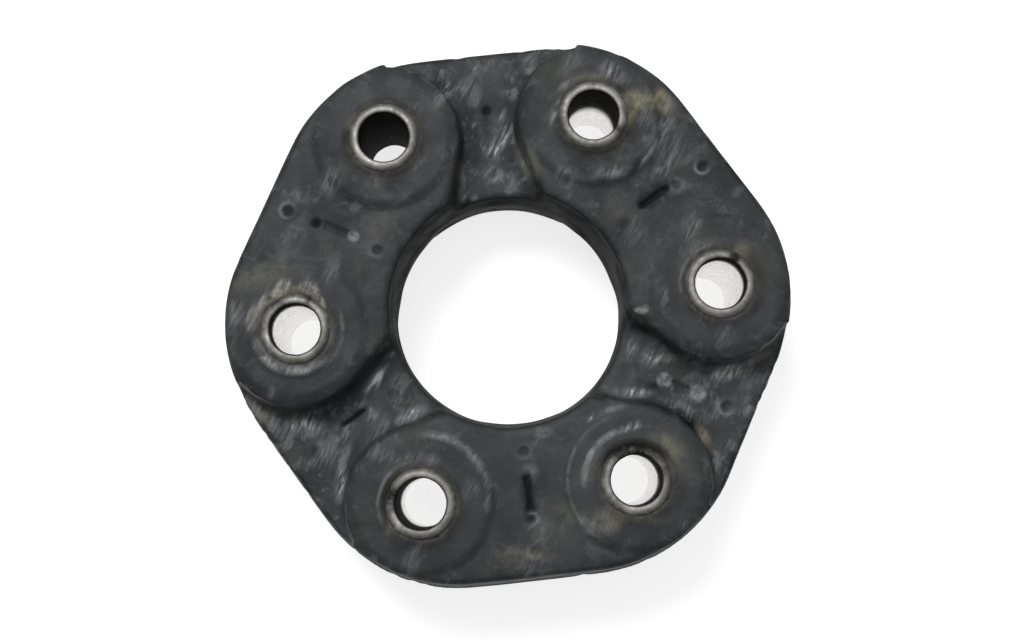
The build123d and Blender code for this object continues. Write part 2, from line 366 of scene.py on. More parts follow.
# whitish matter pressed into the marks: no strokes
PRESSED = (
    *patches(on_span, 3, (-3.2, -0.7, 150, 2.0, 1.8, 0.70)),
    *patches(on_span, 6, (-2.6, -0.1, 150, 2.5, 2.4, 0.95), (6.5, 0.3, 150, 2.8, 2.5, 1.05)),
    *patches(on_span, 5, (-14.0, 5.0, 0, 3.0, 2.0, 0.30)),
)
# rubbed lips: middle, reach, width, direction, spread, strength
RUBBED_LIPS = (
    (beside(4, 0, 0), 10.1, 1.8, -112, 74, 0.95),
    (beside(4, 0, 0), 11.6, 0.9, -20, 45, 0.40),
    (beside(5, 0, 0), 10.4, 0.8, 150, 60, 0.45),
    (beside(5, 0, 0), 17.0, 1.6, 47, 44, 0.75),
    (beside(6, 0, 0), 12.6, 1.3, 135, 52, 0.95),
    (beside(6, 0, 0), 16.6, 0.7, 175, 70, 0.30),
    (beside(1, 0, 0), 9.9, 0.7, 140, 60, 0.35),
    (beside(2, 0, 0), 16.0, 1.6, -80, 60, 0.16),
)
# painted shade close round sleeves, written in the same way
SHADE_ARCS = (
    (beside(6, 0, 0), 8.4, 3.4, 88, 80, 0.97),
    (beside(5, 0, 0), 8.6, 2.4, 160, 50, 0.75),
    (beside(2, 0, 0), 9.2, 2.4, -75, 75, 0.60),
    (beside(3, 0, 0), 9.2, 2.0, -60, 60, 0.35),
)

# ---- floor, light and camera ----
FLOOR_HALF = 3.0            # metres
FLOOR_GAP = 0.15
FLOOR_GLOW = 0.78           # how bright the sheet looks to the camera and in reflections
SKY_STRENGTH = 0.22
# name, place and size in metres, power in watts
SOFTBOXES = (
    ("key_softbox", (-0.18, 0.52, 0.94), 0.38, 9.3),
    ("overhead_softbox", (0.10, 0.10, 1.10), 0.60, 1.6),
)
CAMERA_LENS = 49.2
CAMERA_PLACE = (-4.77, -41.27, 358.12)
CAMERA_TURN = (6.388, -0.195, -6.228)


# ---- rubber body ----
def face_height(index, side):
    """Height of a span's face: raised and recessed by turns, the other way round on the rear."""
    raised = (index % 2 == 0) == (side > 0)
    return WEB_FACE if raised else RECESS_FLOOR


def fill_marks(shape, index, side):
    """Plugs flush with the face, so that the marks can be shaped again as worn ones."""
    turned = Matrix.Rotation(span_angle(index), 4, "Z")
    height = side * (face_height(index, side) - PLUG_DEPTH / 2)
    low = -SLOT_HALF - PLUG_MARGIN
    high = VENT_OFFSET + VENT_RADIUS + PLUG_MARGIN
    width = 2 * (VENT_RADIUS + PLUG_MARGIN)
    place = Matrix.Translation(Vector((SPAN_REACH + (low + high) / 2, 0, height)) * MM)
    size = Matrix.Diagonal(((high - low) * MM, width * MM, PLUG_DEPTH * MM, 1))
    bmesh.ops.create_cube(shape, size=1, matrix=turned @ place @ size)
    radius = (PIN_RADIUS + 0.3) * MM
    for offset in PIN_OFFSETS:
        place = Matrix.Translation(Vector((SPAN_REACH + offset, 0, height)) * MM)
        bmesh.ops.create_cone(
            shape, cap_ends=True, segments=24, radius1=radius, radius2=radius,
            depth=PLUG_DEPTH * MM, matrix=turned @ place,
        )


def body_mesh():
    """The moulding as one even mesh: its inner cavities are filled by what lies in them."""
    shape = bmesh.new()
    for name in ["rubber_body"] + separator_names + collar_names + loop_names:
        shape.from_mesh(nodes[name].data)
    bmesh.ops.remove_doubles(shape, verts=shape.verts, dist=0.001 * MM)
    for index in range(SLEEVE_COUNT):
        fill_marks(shape, index, 1)
        fill_marks(shape, index, -1)
    mesh = bpy.data.meshes.new("moulded_body")
    shape.to_mesh(mesh)
    shape.free()
    return mesh


def span_frame(index, points):
    """Points as (outward, across) of the span after a sleeve."""
    angle = span_angle(index)
    outward = points[:, 0] * cos(angle) + points[:, 1] * sin(angle)
    across = -points[:, 0] * sin(angle) + points[:, 1] * cos(angle)
    return outward, across


def relax(points, ends, share, rounds):
    """Draw the vertices toward the middle of their neighbours, each by its share."""
    for _ in range(rounds):
        points += 0.6 * share[:, None] * (neighbour_mean(points, ends, len(points)) - points)


def nearest_sleeve(points):
    """Distance from the nearest sleeve's axis."""
    reach = np.full(len(points), 99.0)
    for axis in sleeve_axes:
        reach = np.minimum(reach, np.hypot(*away_from(points, axis)))
    return reach


def soften_pads(points, normals):
    """The pads run into the raised spans in a low slope instead of a step."""
    facing = np.abs(normals[:, 2]) > 0.25
    height = np.abs(points[:, 2])
    top = facing & (height > WEB_FACE - 0.35) & (height < PAD_FACE + 0.1)
    reach = nearest_sleeve(points)
    slope = WEB_FACE + (PAD_FACE - WEB_FACE) * (1 - smooth_step(reach, PAD_RADIUS - 2.0, PAD_RADIUS + 1.2))
    share = top * smooth_step(reach, PAD_RADIUS - 3.0, PAD_RADIUS - 2.0)
    share = share * smooth_step(height, WEB_FACE - 0.35, WEB_FACE - 0.05)
    points[:, 2] += share * (np.sign(points[:, 2]) * slope - points[:, 2])


def soften_bore(mesh, points):
    """The centre bore's wall is rounded off, its rear rim most, and leans in at the rear recesses."""
    reach = np.hypot(points[:, 0], points[:, 1])
    share = 1 - smooth_step(reach, CENTRE_BORE_REACH + 1, CENTRE_BORE_REACH + 5)
    share *= 0.15 + 0.85 * smooth_step(-points[:, 2], -2, 8)
    relax(points, read_edges(mesh), share, BORE_ROUNDS)
    for index in REAR_RECESSES:
        outward, across = span_frame(index, points)
        lean = smooth_step(-points[:, 2], -2, 7)
        lean = lean * (1 - smooth_step(reach, CENTRE_BORE_REACH + 1, CENTRE_BORE_REACH + 6))
        lean *= (outward > 0) * (1 - smooth_step(np.abs(across), 7, 15))
        points[:, :2] *= (1 - BORE_LEAN * lean / np.maximum(reach, 1))[:, None]


def beyond_walls(points, normals, farthest):
    """Distance of each vertex on a recess floor, or by it, from the recess's walls."""
    height = np.abs(points[:, 2])
    reach = np.hypot(points[:, 0], points[:, 1])
    level = np.where(points[:, 2] > 0, 100.0, -100.0)
    upright = (np.abs(normals[:, 2]) < 0.4) & (height > RECESS_FLOOR + 1.5) & (height < RECESS_FLOOR + 2.5)
    walls = np.flatnonzero(upright & (reach > CENTRE_BORE_REACH + 1) & (farthest < SPAN_FLAT - 2.5))
    tree = kdtree.KDTree(len(walls))
    for entry, index in enumerate(walls):
        tree.insert((points[index, 0], points[index, 1], level[index]), entry)
    tree.balance()
    beyond = np.full(len(points), 99.0)
    for index in np.flatnonzero((height > RECESS_FLOOR - 1) & (reach > CENTRE_BORE_REACH - 2)):
        beyond[index] = tree.find((points[index, 0], points[index, 1], level[index]))[2]
    return beyond


def soften_recesses(mesh, points, normals):
    """The recess floors rise softly toward their walls, and the walls have no sharp rims."""
    farthest = np.max([span_frame(index, points)[0] for index in range(SLEEVE_COUNT)], axis=0)
    beyond = beyond_walls(points, normals, farthest)
    height = np.abs(points[:, 2])
    low = (height < RECESS_FLOOR + 1.5) & (beyond < FOOT_WIDTH)
    foot = RECESS_FLOOR + FOOT_RISE * np.clip(1 - beyond / FOOT_WIDTH, 0, 1) ** 2
    share = smooth_step(np.abs(normals[:, 2]), 0.3, 0.6)
    share = share * (1 - smooth_step(farthest, SPAN_FLAT - 4, SPAN_FLAT - 1))
    points[:, 2] += np.sign(points[:, 2]) * low * share * np.maximum(foot - height, 0)
    share = 0.35 + 0.65 * (1 - smooth_step(height, RECESS_FLOOR + 3, PAD_FACE - 1))
    share = (1 - smooth_step(beyond, 2.5, 4.5)) * share
    share *= 1 - smooth_step(farthest, SPAN_FLAT - 3.5, SPAN_FLAT - 1.5)
    relax(points, read_edges(mesh), share, RECESS_ROUNDS)


def slot_profile(outward, across, slot):
    """1 inside a worn mould slot, 0 outside; the waist widens or narrows its ends."""
    _, width, waist, place_along, place_across, length_share = slot
    along = (outward - place_along) / (SLOT_HALF * length_share)
    half = np.maximum(width * (1 + waist * (along ** 2 - 0.3)), 0.3)
    inside = 1 - smooth_step(np.abs(across - place_across), half * 0.35, half * 1.15)
    return inside * (1 - smooth_step(np.abs(along), 0.72, 1.06))


def pit_profile(away, radius):
    return 1 - smooth_step(away, radius * 0.35, radius * 1.1)


def worn_marks(outward, across, slot, strengths, ring=0.0):
    """Strongest of a span's mould marks: slot, vent and two dimples, which a raised ring may surround."""
    groove, vent, inner, outer = strengths
    worn = groove * slot_profile(outward, across, slot)
    worn = np.maximum(worn, vent * pit_profile(np.hypot(outward - VENT_OFFSET, across), VENT_RADIUS))
    for pin, offset in zip((inner, outer), PIN_OFFSETS):
        away = np.hypot(outward - offset, across)
        worn = np.maximum(worn, pin * pit_profile(away, PIN_RADIUS))
        worn -= ring * pin * bump_at(away - PIN_RADIUS - 0.3, 0.5)
    return worn


def mark_depths(points, normals):
    """How deep the mould marks are at each vertex, in millimetres."""
    depth = np.zeros(len(points))
    facing = smooth_step(np.abs(normals[:, 2]), 0.5, 0.8)
    for index in range(SLEEVE_COUNT):
        outward, across = span_frame(index, points)
        outward = outward - SPAN_REACH
        for side, (slot, *pits) in ((1, FRONT_MARKS[index]), (-1, REAR_MARK)):
            there = facing * (points[:, 2] * side > 3)
            worn = worn_marks(outward, across, slot, (slot[0], *pits), 0.22)
            depth = np.where(np.abs(worn) * there > np.abs(depth), worn * there, depth)
    return depth


def lift_round_sleeves(lift, points, normals):
    """Faces round the sleeves: rubber drawn up to the steel, a low dish and a pressed lip."""
    height = np.abs(points[:, 2])
    on_face = smooth_step(height, PAD_FACE - 1.2, PAD_FACE - 0.5)
    on_face = on_face * smooth_step(np.abs(normals[:, 2]), 0.5, 0.8)
    for axis, (lip_height, direction) in zip(sleeve_axes, PRESSED_LIPS):
        across_x, across_y = away_from(points, axis)
        reach = np.hypot(across_x, across_y)
        side = 0.5 + 0.5 * np.cos(np.arctan2(across_y, across_x) - radians(direction))
        lift += on_face * 1.15 * bump_at(reach - SLEEVE_RADIUS, 1.5)
        lift -= on_face * 0.15 * bump_at(reach - SLEEVE_RADIUS, 5.0)
        lift += on_face * lip_height * side ** 1.5 * bump_at(reach - LIP_REACH, 0.9)


def climb_sleeves(points, height):
    """The rubber climbs on the sleeves' rounded shoulders."""
    for axis in sleeve_axes:
        across_x, across_y = away_from(points, axis)
        reach = np.hypot(across_x, across_y)
        climb = smooth_step(height, PAD_FACE - 1.5, PAD_FACE - 0.6) * bump_at(reach - SLEEVE_RADIUS, 0.9)
        points[:, 0] -= 0.50 * climb * across_x / np.maximum(reach, 1)
        points[:, 1] -= 0.50 * climb * across_y / np.maximum(reach, 1)


def nick_rims(mesh, points, normals):
    """Small nicks along the rims."""
    proud = curvature(mesh, 3)
    rims = np.flatnonzero(proud > np.quantile(proud, 0.965))
    for _ in range(NICKS):
        spot = points[random.choice(rims)]
        width = random.uniform(0.5, 1.5)
        depth = random.uniform(0.10, 0.30)
        away = points - spot
        near = np.flatnonzero((np.abs(away) < 2.5 * width).all(axis=1))
        push = depth * bump_at(np.linalg.norm(away[near], axis=1), width)
        points[near] -= normals[near] * push[:, None]


def sculpt_body(mesh):
    """Wear and moulding marks: uneven faces, lips round the sleeves, flash, nicks."""
    points = read_points(mesh)
    normals = read_normals(mesh)
    soften_pads(points, normals)
    soften_recesses(mesh, points, normals)
    soften_bore(mesh, points)
    write_points(mesh, points)
    normals = read_normals(mesh)
    height = np.abs(points[:, 2])
    lift = np.zeros(len(points))

    # slow waviness of an old rubber moulding
    lift += 0.16 * field(points, 22, 1)
    lift += 0.08 * field(points, 7, 2)
    lift_round_sleeves(lift, points, normals)

    # ragged flash along the parting line of the side wall
    steep = smooth_step(1 - np.abs(normals[:, 2]), 0.5, 0.9)
    outside = smooth_step(np.hypot(points[:, 0], points[:, 1]), 55, 58)
    ragged = 0.8 + 0.4 * field(points, 9, 3)
    lift += 0.12 * ragged * steep * outside * bump_at(points[:, 2], 0.42)

    # a shallow crease under the front rim of the centre bore
    lift -= 0.25 * bump_at(rim_depth(points) - 3.0, 2.4) * steep
    lift -= mark_depths(points, normals)
    points += normals * lift[:, None]
    climb_sleeves(points, height)
    nick_rims(mesh, points, normals)
    write_points(mesh, points)


def rim_depth(points):
    """Depth under the front rim of the centre bore, which rises and falls with the spans."""
    turn = np.arctan2(points[:, 1], points[:, 0])
    reach = np.hypot(points[:, 0], points[:, 1])
    steps = 180
    sector = ((turn + pi) / (2 * pi) * steps).astype(int) % steps
    rim = np.full(steps, -99.0)
    inner = reach < CENTRE_BORE_REACH + 2
    np.maximum.at(rim, sector[inner], points[inner, 2])
    return np.where(inner, rim[sector] - points[:, 2], 99.0)


def painted(points, patches):
    """Strongest of several soft patches of the front at each vertex."""
    total = np.zeros(len(points))
    for place, turn, radii, strength in patches:
        across_x, across_y = away_from(points, place)
        along = (across_x * cos(radians(turn)) + across_y * sin(radians(turn))) / radii[0]
        aside = (-across_x * sin(radians(turn)) + across_y * cos(radians(turn))) / radii[1]
        total = np.maximum(total, strength * (1 - smooth_step(np.hypot(along, aside), 0.15, 1)))
    return total * (points[:, 2] > 3)


def grease_and_shade_in_marks(points, on_front):
    """How much black grease and painted shade lie in the mould marks."""
    grease_and_shade = np.zeros(len(points))
    for index in range(SLEEVE_COUNT):
        outward, across = span_frame(index, points)
        outward = outward - SPAN_REACH
        dark = worn_marks(outward, across, FRONT_MARKS[index][0], FRONT_GREASE_AND_SHADE[index])
        rear = 0.7 * slot_profile(outward, across, REAR_MARK[0])
        grease_and_shade = np.maximum(grease_and_shade, np.where(on_front, dark, rear))
    return grease_and_shade


def rubbed_and_lit_pit_rims(points, on_front):
    """Rubbed rims of the pits, with a painted highlight on one side."""
    pale = np.zeros(len(points))
    for number, offset, radius, direction, spread_power, strength in PIT_RIM_WEAR_AND_HIGHLIGHTS:
        place = on_span(number, offset, 0)
        across_x, across_y = away_from(points, place)
        toward = 0.5 + 0.5 * np.cos(np.arctan2(across_y, across_x) - radians(direction))
        ring = strength * toward ** spread_power * bump_at(np.hypot(across_x, across_y) - radius, 0.42)
        pale = np.maximum(pale, ring * on_front)
    return pale


def body_attributes(mesh):
    """Where the body is rubbed, where dirt gathers and where shade is painted, what is recessed or steep,
    and the mould marks.
    """
    ends = read_edges(mesh)
    proud = curvature(mesh, 4)
    spread = proud[:, None]
    for _ in range(2):
        spread = neighbour_mean(spread, ends, len(proud))
    spread = spread[:, 0]
    points = read_points(mesh)
    level = np.abs(read_normals(mesh)[:, 2])
    height = np.abs(points[:, 2])
    store(mesh, "rubbed", smooth_step(spread, 0.02, 0.16))
    store(mesh, "hollow", smooth_step(-spread, 0.02, 0.16))
    steep = 1 - smooth_step(level, 0.35, 0.85)
    in_bore = np.hypot(points[:, 0], points[:, 1]) < CENTRE_BORE_REACH
    # steep walls are darkened as painted shade: fully in the centre bore, a little elsewhere
    store(mesh, "steep", steep * np.where(in_bore, 1.0, 0.15))
    under_rim = rim_depth(points)
    # painted shade on the wall just under the centre bore's front rim
    store(mesh, "shade_under_rim", steep * smooth_step(under_rim, 0.1, 1.0) * (1 - smooth_step(under_rim, 3.0, 8.0)))
    low = 1 - smooth_step(height, RECESS_FLOOR + 1.5, RECESS_FLOOR + 4)
    store(mesh, "recessed", low * smooth_step(level, 0.6, 0.9))
    reach = nearest_sleeve(points)
    store(mesh, "halo", bump_at(reach - SLEEVE_RADIUS + 0.2, 1.4))
    store(mesh, "pad", 1 - smooth_step(reach, PAD_RADIUS - 4, PAD_RADIUS))
    on_front = points[:, 2] > 3
    store(mesh, "grease_and_shade", grease_and_shade_in_marks(points, on_front))
    store(mesh, "pit_rim_wear_and_highlight", rubbed_and_lit_pit_rims(points, on_front))
    painted_on = {"ochre": OCHRE_DIRT, "olive": OLIVE_DIRT, "scuffed": SCUFFS, "shade_and_dirt": SHADE_AND_DIRT_PATCHES}
    for name, patches in painted_on.items():
        store(mesh, name, painted(points, patches))


def make_body():
    body = new_piece("moulded_body", body_mesh())
    remesh = body.modifiers.new("even", "REMESH")
    remesh.mode = "VOXEL"
    remesh.voxel_size = BODY_VOXEL * MM
    soften = body.modifiers.new("soften", "SMOOTH")
    soften.factor = 0.5
    soften.iterations = BODY_SMOOTHING
    mesh = finished_mesh(body)
    sculpt_body(mesh)
    body_attributes(mesh)
    mesh.calc_loop_triangles()
    thin = body.modifiers.new("thin", "DECIMATE")
    thin.ratio = min(1, BODY_TRIANGLES / len(mesh.loop_triangles))
    mesh = finished_mesh(body)
    mesh.shade_smooth()
    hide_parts("rubber_body")
    return body


# ---- sleeves ----
def end_circle(shape, radius):
    """The edges of the tube's two end circles of this radius."""
    return [
        edge for edge in shape.edges
        if all(abs(abs(vert.co.z) - SLEEVE_END * MM) < 1e-6 for vert in edge.verts)
        and all(abs(vert.co.xy.length - radius * MM) < 1e-5 for vert in edge.verts)
    ]


def sleeve_mesh(number):
    """Turned tube with rounded ends."""
    shape = bmesh.new()
    corners = [
        (SLEEVE_BORE, -SLEEVE_END),
        (SLEEVE_RADIUS, -SLEEVE_END),
        (SLEEVE_RADIUS, SLEEVE_END),
        (SLEEVE_BORE, SLEEVE_END),
    ]
    ring = [shape.verts.new((radius * MM, 0, height * MM)) for radius, height in corners]
    profile = [shape.edges.new((ring[k], ring[(k + 1) % 4])) for k in range(4)]
    bmesh.ops.subdivide_edges(shape, edges=[profile[1], profile[3]], cuts=11)
    bmesh.ops.spin(
        shape, geom=shape.verts[:] + shape.edges[:], cent=(0, 0, 0), axis=(0, 0, 1), dvec=(0, 0, 0),
        angle=2 * pi, steps=SLEEVE_STEPS, use_merge=True, use_duplicate=False,
    )
    bmesh.ops.recalc_face_normals(shape, faces=shape.faces)
    for radius, width in ((SLEEVE_RADIUS, SLEEVE_ROUNDING), (SLEEVE_BORE, BORE_ROUNDING)):
        bmesh.ops.bevel(
            shape, geom=end_circle(shape, radius), offset=width * MM, segments=6, profile=0.5,
            affect="EDGES", material=-1,
        )
    mesh = bpy.data.meshes.new(f"worn_sleeve_{number + 1}")
    shape.to_mesh(mesh)
    shape.free()
    return mesh


def batter_sleeve(points, number, turn):
    """Uneven, chipped ends."""
    end = smooth_step(np.abs(points[:, 2]), SLEEVE_END - 2.2, SLEEVE_END - 0.8)
    facing = np.sign(points[:, 2])
    around = np.stack([np.cos(turn) * 2.2, np.sin(turn) * 2.2, facing * 5 + number * 11], axis=1)
    wobble = field(around, 1, 4)
    chips = field(around * 3.1, 1, 5)
    points[:, 2] += end * facing * (0.10 * wobble - 0.14 * np.clip(chips, 0, 1))
    swell = 1 + end * (0.012 * wobble + 0.006 * chips)
    points[:, 0] *= swell
    points[:, 1] *= swell


def sleeve_attributes(mesh, points, number, turn, reach):
    """Bore, outer rim, parts of the face that are stained and shaded or rubbed bright and lit, and how deep
    the painted shade reaches into the bore.
    """
    store(mesh, "bore", 1 - smooth_step(reach, SLEEVE_BORE + 0.05, SLEEVE_BORE + 0.60))
    store(mesh, "skirt", smooth_step(reach, SLEEVE_RADIUS - 1.6, SLEEVE_RADIUS - 0.4))
    for name, entries in (("stain", SLEEVE_STAINS_AND_SHADE), ("shine_and_highlight", SLEEVE_SHINE_AND_HIGHLIGHTS)):
        total = np.zeros(len(points))
        for owner, direction, spread, strength in entries:
            off = np.angle(np.exp(1j * (turn - radians(direction))))
            total = np.maximum(total, (owner == number + 1) * strength * bump_at(off, radians(spread)))
        store(mesh, name, total * (points[:, 2] > 0))
    depth = SLEEVE_END - points[:, 2]
    store(mesh, "bore_shade", 1 - smooth_step(depth, BORE_SHADE_DEPTHS[number] * 0.7, BORE_SHADE_DEPTHS[number]))


def make_sleeve(number):
    mesh = sleeve_mesh(number)
    points = read_points(mesh)
    turn = np.arctan2(points[:, 1], points[:, 0])
    reach = np.hypot(points[:, 0], points[:, 1])
    batter_sleeve(points, number, turn)
    points[:, 0] += sleeve_axes[number][0]
    points[:, 1] += sleeve_axes[number][1]
    write_points(mesh, points)
    sleeve_attributes(mesh, points, number, turn, reach)
    mesh.shade_smooth()
    sleeve = new_piece(f"worn_sleeve_{number + 1}", mesh)
    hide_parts(sleeve_names[number])
    return sleeve


# ---- material tools ----
class Finish:
    """Node tree of one material, with short calls for the nodes that the finishes use."""

    def __init__(self, name):
        self.material = bpy.data.materials.new(name)
        self.material.use_nodes = True
        self.tree = self.material.node_tree
        self.surface = self.tree.nodes["Principled BSDF"]
        self.place = self.tree.nodes.new("ShaderNodeTexCoord").outputs["Object"]
        self.colour = None

    def put(self, socket, value):
        if isinstance(value, bpy.types.NodeSocket):
            self.tree.links.new(value, socket)
        elif socket.type == "RGBA":
            socket.default_value = (*value, 1)
        else:
            socket.default_value = value

    def __getitem__(self, name):
        """The vertex attribute of this name."""
        node = self.tree.nodes.new("ShaderNodeAttribute")
        node.attribute_name = name
        return node.outputs["Fac"]

    def mapped(self, place=(0, 0, 0), turn=(0, 0, 0), scale=(1, 1, 1)):
        """Coordinates measured from a place, along turned axes, in units of the scale."""
        node = self.tree.nodes.new("ShaderNodeMapping")
        node.vector_type = "TEXTURE"
        self.put(node.inputs["Vector"], self.place)
        node.inputs["Location"].default_value = [value * MM for value in place]
        node.inputs["Rotation"].default_value = [radians(value) for value in turn]
        node.inputs["Scale"].default_value = [value * MM for value in scale]
        return node.outputs["Vector"]

    def noise(self, size, detail=4, rough=0.55, warp=0, coordinates=None):
        """Cloudy noise whose features are about the given size in millimetres."""
        node = self.tree.nodes.new("ShaderNodeTexNoise")
        self.put(node.inputs["Vector"], coordinates if coordinates is not None else self.place)
        node.inputs["Scale"].default_value = 1 if coordinates is not None else 1 / (size * MM)
        node.inputs["Detail"].default_value = detail
        node.inputs["Roughness"].default_value = rough
        node.inputs["Distortion"].default_value = warp
        return node.outputs["Fac"]

    def math(self, operation, first, second=0.0, third=0.0):
        node = self.tree.nodes.new("ShaderNodeMath")
        node.operation = operation
        for socket, value in zip(node.inputs, (first, second, third)):
            self.put(socket, value)
        return node.outputs["Value"]

    def times(self, product, *values):
        for value in values:
            product = self.math("MULTIPLY", product, value)
        return product

    def without(self, share):
        """What the share leaves of the whole."""
        return self.math("SUBTRACT", 1.0, share)

    def at_least(self, lowest, share):
        """The share, raised so that it runs from lowest to 1."""
        return self.math("ADD", lowest, self.times(share, 1 - lowest))

    def between(self, value, low, high, start=0.0, end=1.0):
        """Soft step from start to end as the value goes from low to high."""
        node = self.tree.nodes.new("ShaderNodeMapRange")
        node.interpolation_type = "SMOOTHSTEP"
        names = ("Value", "From Min", "From Max", "To Min", "To Max")
        for name, entry in zip(names, (value, low, high, start, end)):
            self.put(node.inputs[name], entry)
        return node.outputs["Result"]

    def clouds(self, size, low, high, detail=4, rough=0.55, warp=0, coordinates=None):
        """Patches of noise: 0 where the noise is under low, 1 where it is over high."""
        return self.between(self.noise(size, detail, rough, warp, coordinates), low, high)

    def mixed(self, share, first, second):
        node = self.tree.nodes.new("ShaderNodeMix")
        node.data_type = "RGBA"
        self.put(node.inputs["Factor"], share)
        self.put(node.inputs[6], first)
        self.put(node.inputs[7], second)
        return node.outputs[2]

    def coat(self, tint, *shares):
        """Lay a tint over the colour, as thick as the product of the shares."""
        self.colour = self.mixed(self.times(*shares), self.colour, tint)

    def wear(self, name, value):
        """Give the surface its value for one of its inputs."""
        self.put(self.surface.inputs[name], value)

    def part(self, vector, letter):
        """One of a vector's X, Y and Z."""
        node = self.tree.nodes.new("ShaderNodeSeparateXYZ")
        self.put(node.inputs[0], vector)
        return node.outputs[letter]

    def length(self, vector):
        node = self.tree.nodes.new("ShaderNodeVectorMath")
        node.operation = "LENGTH"
        self.put(node.inputs[0], vector)
        return node.outputs["Value"]

    def front(self):
        """1 on the front half of the disc."""
        return self.between(self.part(self.place, "Z"), 1 * MM, 5 * MM)

    def spot(self, place, turn, radii, soft=0.7):
        """1 inside an ellipse on the face, fading to 0 at its rim."""
        off = self.length(self.mapped((*place, 0), (0, 0, turn), (*radii, 1000)))
        return self.between(off, 1 - soft, 1, 1, 0)

    def gathered(self, shares):
        """The strongest of several shares."""
        total = shares[0]
        for share in shares[1:]:
            total = self.math("MAXIMUM", total, share)
        return total

    def arc(self, place, reach, width, turn, spread):
        """1 along part of a circle on the face: a rubbed or dirty ring."""
        coordinates = self.mapped((*place, 0), (0, 0, turn), (1, 1, 1000))
        length = self.length(coordinates)
        off = self.math("ABSOLUTE", self.math("SUBTRACT", length, reach))
        line = self.between(off, 0, width, 1, 0)
        facing = self.math("DIVIDE", self.part(coordinates, "X"), self.math("MAXIMUM", length, 0.01))
        return self.times(line, self.between(facing, cos(radians(spread)), cos(radians(spread * 0.5))))

    def arcs(self, entries):
        """The strongest of several arcs, each with its strength as the last value."""
        return self.gathered([self.times(self.arc(*entry[:-1]), entry[-1]) for entry in entries])

    def bump(self, height, distance, strength=1.0, under=None):
        node = self.tree.nodes.new("ShaderNodeBump")
        node.inputs["Strength"].default_value = strength
        node.inputs["Distance"].default_value = distance * MM
        self.put(node.inputs["Height"], height)
        if under is not None:
            self.put(node.inputs["Normal"], under)
        return node.outputs["Normal"]


# ---- rubber: charcoal, scuffed one way, dusty in the recesses, with dirt and painted shade round some sleeves, and painted shade on walls and in marks ----
def rubber_clouds(finish):
    """Broad clouds of lighter and darker rubber, some bluish, some brownish."""
    tone = finish.clouds(20, 0.32, 0.68, 7, 0.62, 0.5)
    finish.colour = finish.mixed(tone, (0.0145, 0.0160, 0.0178), (0.0325, 0.0357, 0.0385))
    plum_place = finish.mapped(place=(-60, 25, 10), scale=(17, 17, 17))
    plum = finish.clouds(17, 0.47, 0.62, 4, 0.55, 0.3, plum_place)
    finish.coat((0.031, 0.030, 0.038), plum, 0.4)
    brown = finish.clouds(14, 0.50, 0.66, 5, 0.58, 0.3)
    finish.coat((0.040, 0.042, 0.034), brown, 0.65)
    bloom = finish.clouds(5.5, 0.50, 0.70, 6, 0.66, 0.7)
    patchy = finish.clouds(24, 0.34, 0.58, 3, 0.5)
    calm = finish.without(finish.times(finish["pad"], 0.65))
    finish.coat((0.080, 0.086, 0.099), bloom, patchy, calm, 0.8)
    smoke_place = finish.mapped(place=(90, 40, 0), scale=(8, 8, 8))
    smoke = finish.clouds(8, 0.54, 0.70, 5, 0.6, 0.6, smoke_place)
    finish.coat((0.014, 0.015, 0.017), smoke, calm, 0.7)
    teal = finish.spot((8, -30), 0, (62, 40), 0.8)
    finish.coat((0.034, 0.046, 0.046), teal, 0.45)


